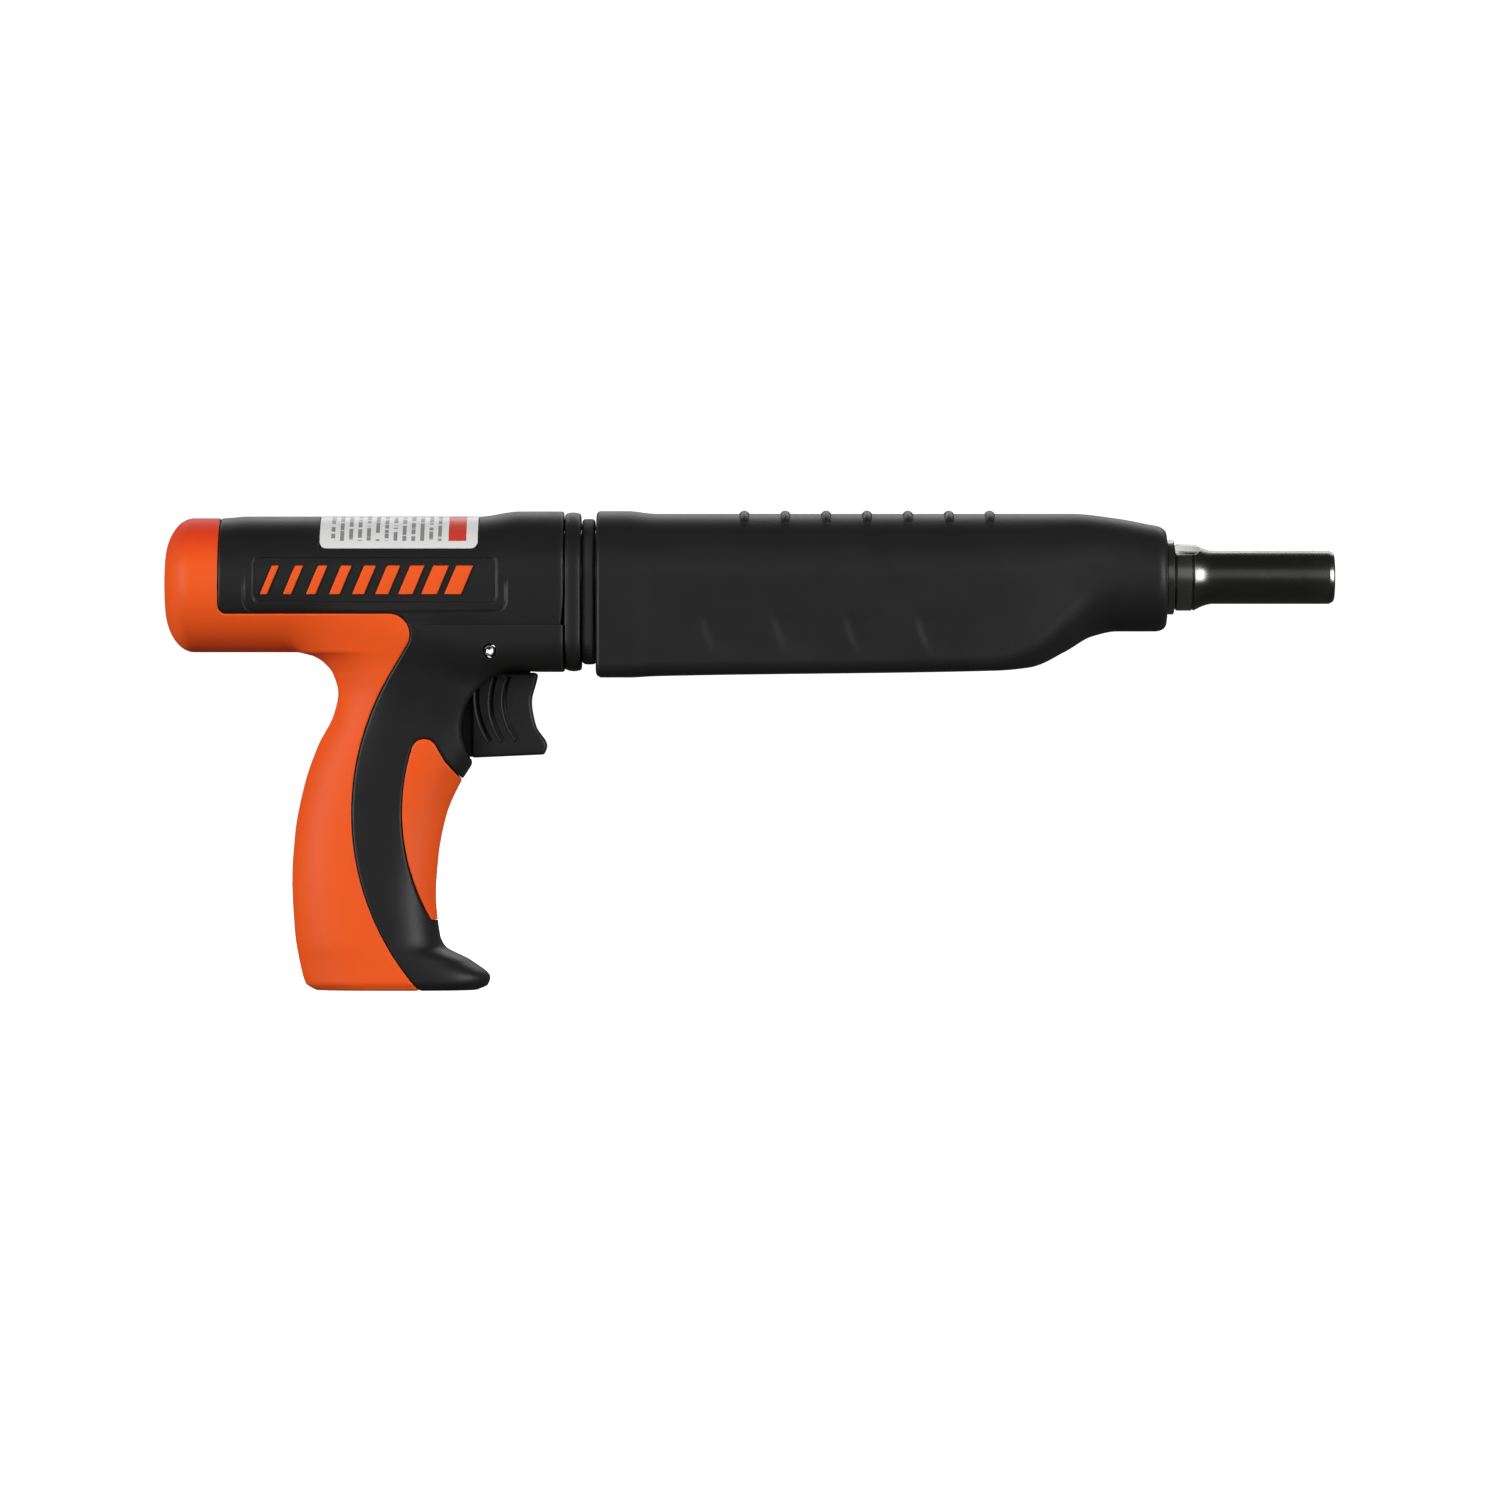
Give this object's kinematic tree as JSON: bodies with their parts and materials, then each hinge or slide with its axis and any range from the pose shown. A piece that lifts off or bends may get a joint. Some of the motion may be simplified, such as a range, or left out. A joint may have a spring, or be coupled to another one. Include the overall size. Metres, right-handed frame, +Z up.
{
  "type": "powder-actuated nail gun",
  "caption": "Pistol-grip tool with a soft-edged housing, a sliding barrel sleeve with top ribs, a sliding trigger and a round steel muzzle.",
  "frame": {"origin": "centre of the tool's length, on the plane the base of the grip stands on, in the tool's middle plane", "axes": "+X along the bore towards the muzzle, +Z up from the grip to the bore, -Y the side with the trigger pin's open end facing the camera"},
  "size_m": [0.3432, 0.039, 0.1408],
  "materials": {
    "black_nylon": "satin moulded black",
    "orange_rubber": "smooth soft-touch orange",
    "black_rubber": "matt black",
    "label_film": "satin white film",
    "blued_steel": "dark oxide",
    "bright_steel": "ground",
    "spring_steel": "drawn wire",
    "acetal": "moulded dark grey"
  },
  "bodies": {
    "handle": {"rear_housing": "black_nylon", "rear_overmould": "orange_rubber", "front_strap_overmould": "orange_rubber", "front_flange": "black_nylon", "buffer_ring": "black_rubber", "top_label": "label_film", "receiver_tube": "blued_steel", "receiver_clip": "spring_steel", "pawl": "bright_steel", "pawl_spring": "spring_steel", "rear_plug": "bright_steel", "recoil_pad": "black_rubber", "rear_screw": "bright_steel", "trigger_pin": "bright_steel", "sear_pin": "bright_steel", "breech_spring": "spring_steel", "firing_pin_spring": "spring_steel", "trigger_spring": "spring_steel", "sear_spring": "spring_steel"},
    "barrel_grip": {"front_sleeve": "black_nylon", "rear_bushing": "acetal", "front_bushing": "acetal", "spring_seat": "blued_steel", "barrel_spring": "spring_steel"},
    "barrel": {"barrel_tube": "blued_steel", "barrel_washer": "blued_steel", "muzzle_bushing": "blued_steel", "piston_buffer": "black_rubber"},
    "piston": {"piston": "bright_steel", "piston_ring": "spring_steel"},
    "breech_block": {"breech_block": "blued_steel"},
    "firing_pin": {"firing_pin": "bright_steel"},
    "trigger": {"trigger": "black_nylon"},
    "sear": {"sear": "blued_steel"}
  },
  "joints": [
    {"name": "grip_slide", "type": "slide", "parent": "handle", "child": "barrel_grip", "axis": [1, 0, 0], "range_m": [0, 0.06]},
    {"name": "barrel_press", "type": "slide", "parent": "barrel_grip", "child": "barrel", "axis": [-1, 0, 0], "range_m": [0, 0.012], "stiffness_N_per_m": 1800, "springref_m": -0.02, "deforming": ["barrel_spring"]},
    {"name": "piston_slide", "type": "slide", "parent": "barrel", "child": "piston", "axis": [1, 0, 0], "range_m": [0, 0.06]},
    {"name": "breech_slide", "type": "slide", "parent": "handle", "child": "breech_block", "axis": [-1, 0, 0], "range_m": [0, 0.012], "deforming": ["breech_spring", "firing_pin_spring"]},
    {"name": "firing_pin_slide", "type": "slide", "parent": "breech_block", "child": "firing_pin", "axis": [1, 0, 0], "range_m": [0, 0.004]},
    {"name": "trigger_slide", "type": "slide", "parent": "handle", "child": "trigger", "axis": [-1, 0, 0], "range_m": [0, 0.006], "stiffness_N_per_m": 1200, "springref_m": -0.004, "deforming": ["trigger_spring"]},
    {"name": "sear_hinge", "type": "hinge", "parent": "handle", "child": "sear", "pos_m": [-0.09555, 0, 0.1026], "axis": [0, 1, 0], "range_deg": [0, 21.9], "deforming": ["sear_spring"]}
  ],
  "couplings": [
    {"joint": "breech_slide", "follows": "barrel_press", "ratio": 1},
    {"joint": "sear_hinge", "follows": "trigger_slide", "rad_per_m": 63.675}
  ]
}
